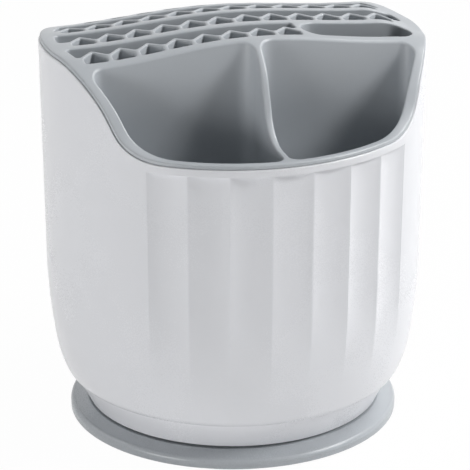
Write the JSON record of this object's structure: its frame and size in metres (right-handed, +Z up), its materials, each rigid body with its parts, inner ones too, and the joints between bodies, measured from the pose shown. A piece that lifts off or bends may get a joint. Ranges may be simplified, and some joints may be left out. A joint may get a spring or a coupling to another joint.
{
  "type": "utensil holder",
  "caption": "Round utensil and knife holder: fluted white barrel, grey lift-out insert with cups and slotted deck, turntable base.",
  "frame": {"origin": "centre of the turning axis on the floor under the rubber feet", "axes": "+Z up along the turning axis, -Y towards the fluted front with the two cups, +X to the viewer's right"},
  "size_m": [0.164, 0.1632, 0.1764],
  "materials": {
    "white_shell": "gloss",
    "grey_insert": "satin",
    "grey_base": "satin",
    "pale_cage": "satin",
    "steel": "bright",
    "rubber": "matt"
  },
  "bodies": {
    "base": {"base_disc": "grey_base", "pivot_bolt": "steel", "pivot_washer": "steel", "rubber_feet": "rubber"},
    "bearing": {"ball_cage": "pale_cage", "bearing_balls": "steel"},
    "barrel": {"outer_barrel": "white_shell", "foot_ring": "white_shell", "foot_screws": "steel"},
    "insert": {"cutlery_cups": "grey_insert", "knife_deck": "grey_insert"}
  },
  "joints": [
    {"name": "barrel_swivel", "type": "hinge", "parent": "base", "child": "barrel", "pos_m": [0, 0, 0.01], "axis": [0, 0, 1], "continuous": true},
    {"name": "bearing_orbit", "type": "hinge", "parent": "base", "child": "bearing", "pos_m": [0, 0, 0.00755], "axis": [0, 0, 1], "continuous": true},
    {"name": "insert_lift", "type": "slide", "parent": "barrel", "child": "insert", "axis": [0, 0, 1], "range_m": [0, 0.16]}
  ],
  "couplings": [
    {"joint": "bearing_orbit", "follows": "barrel_swivel", "ratio": 0.5}
  ]
}
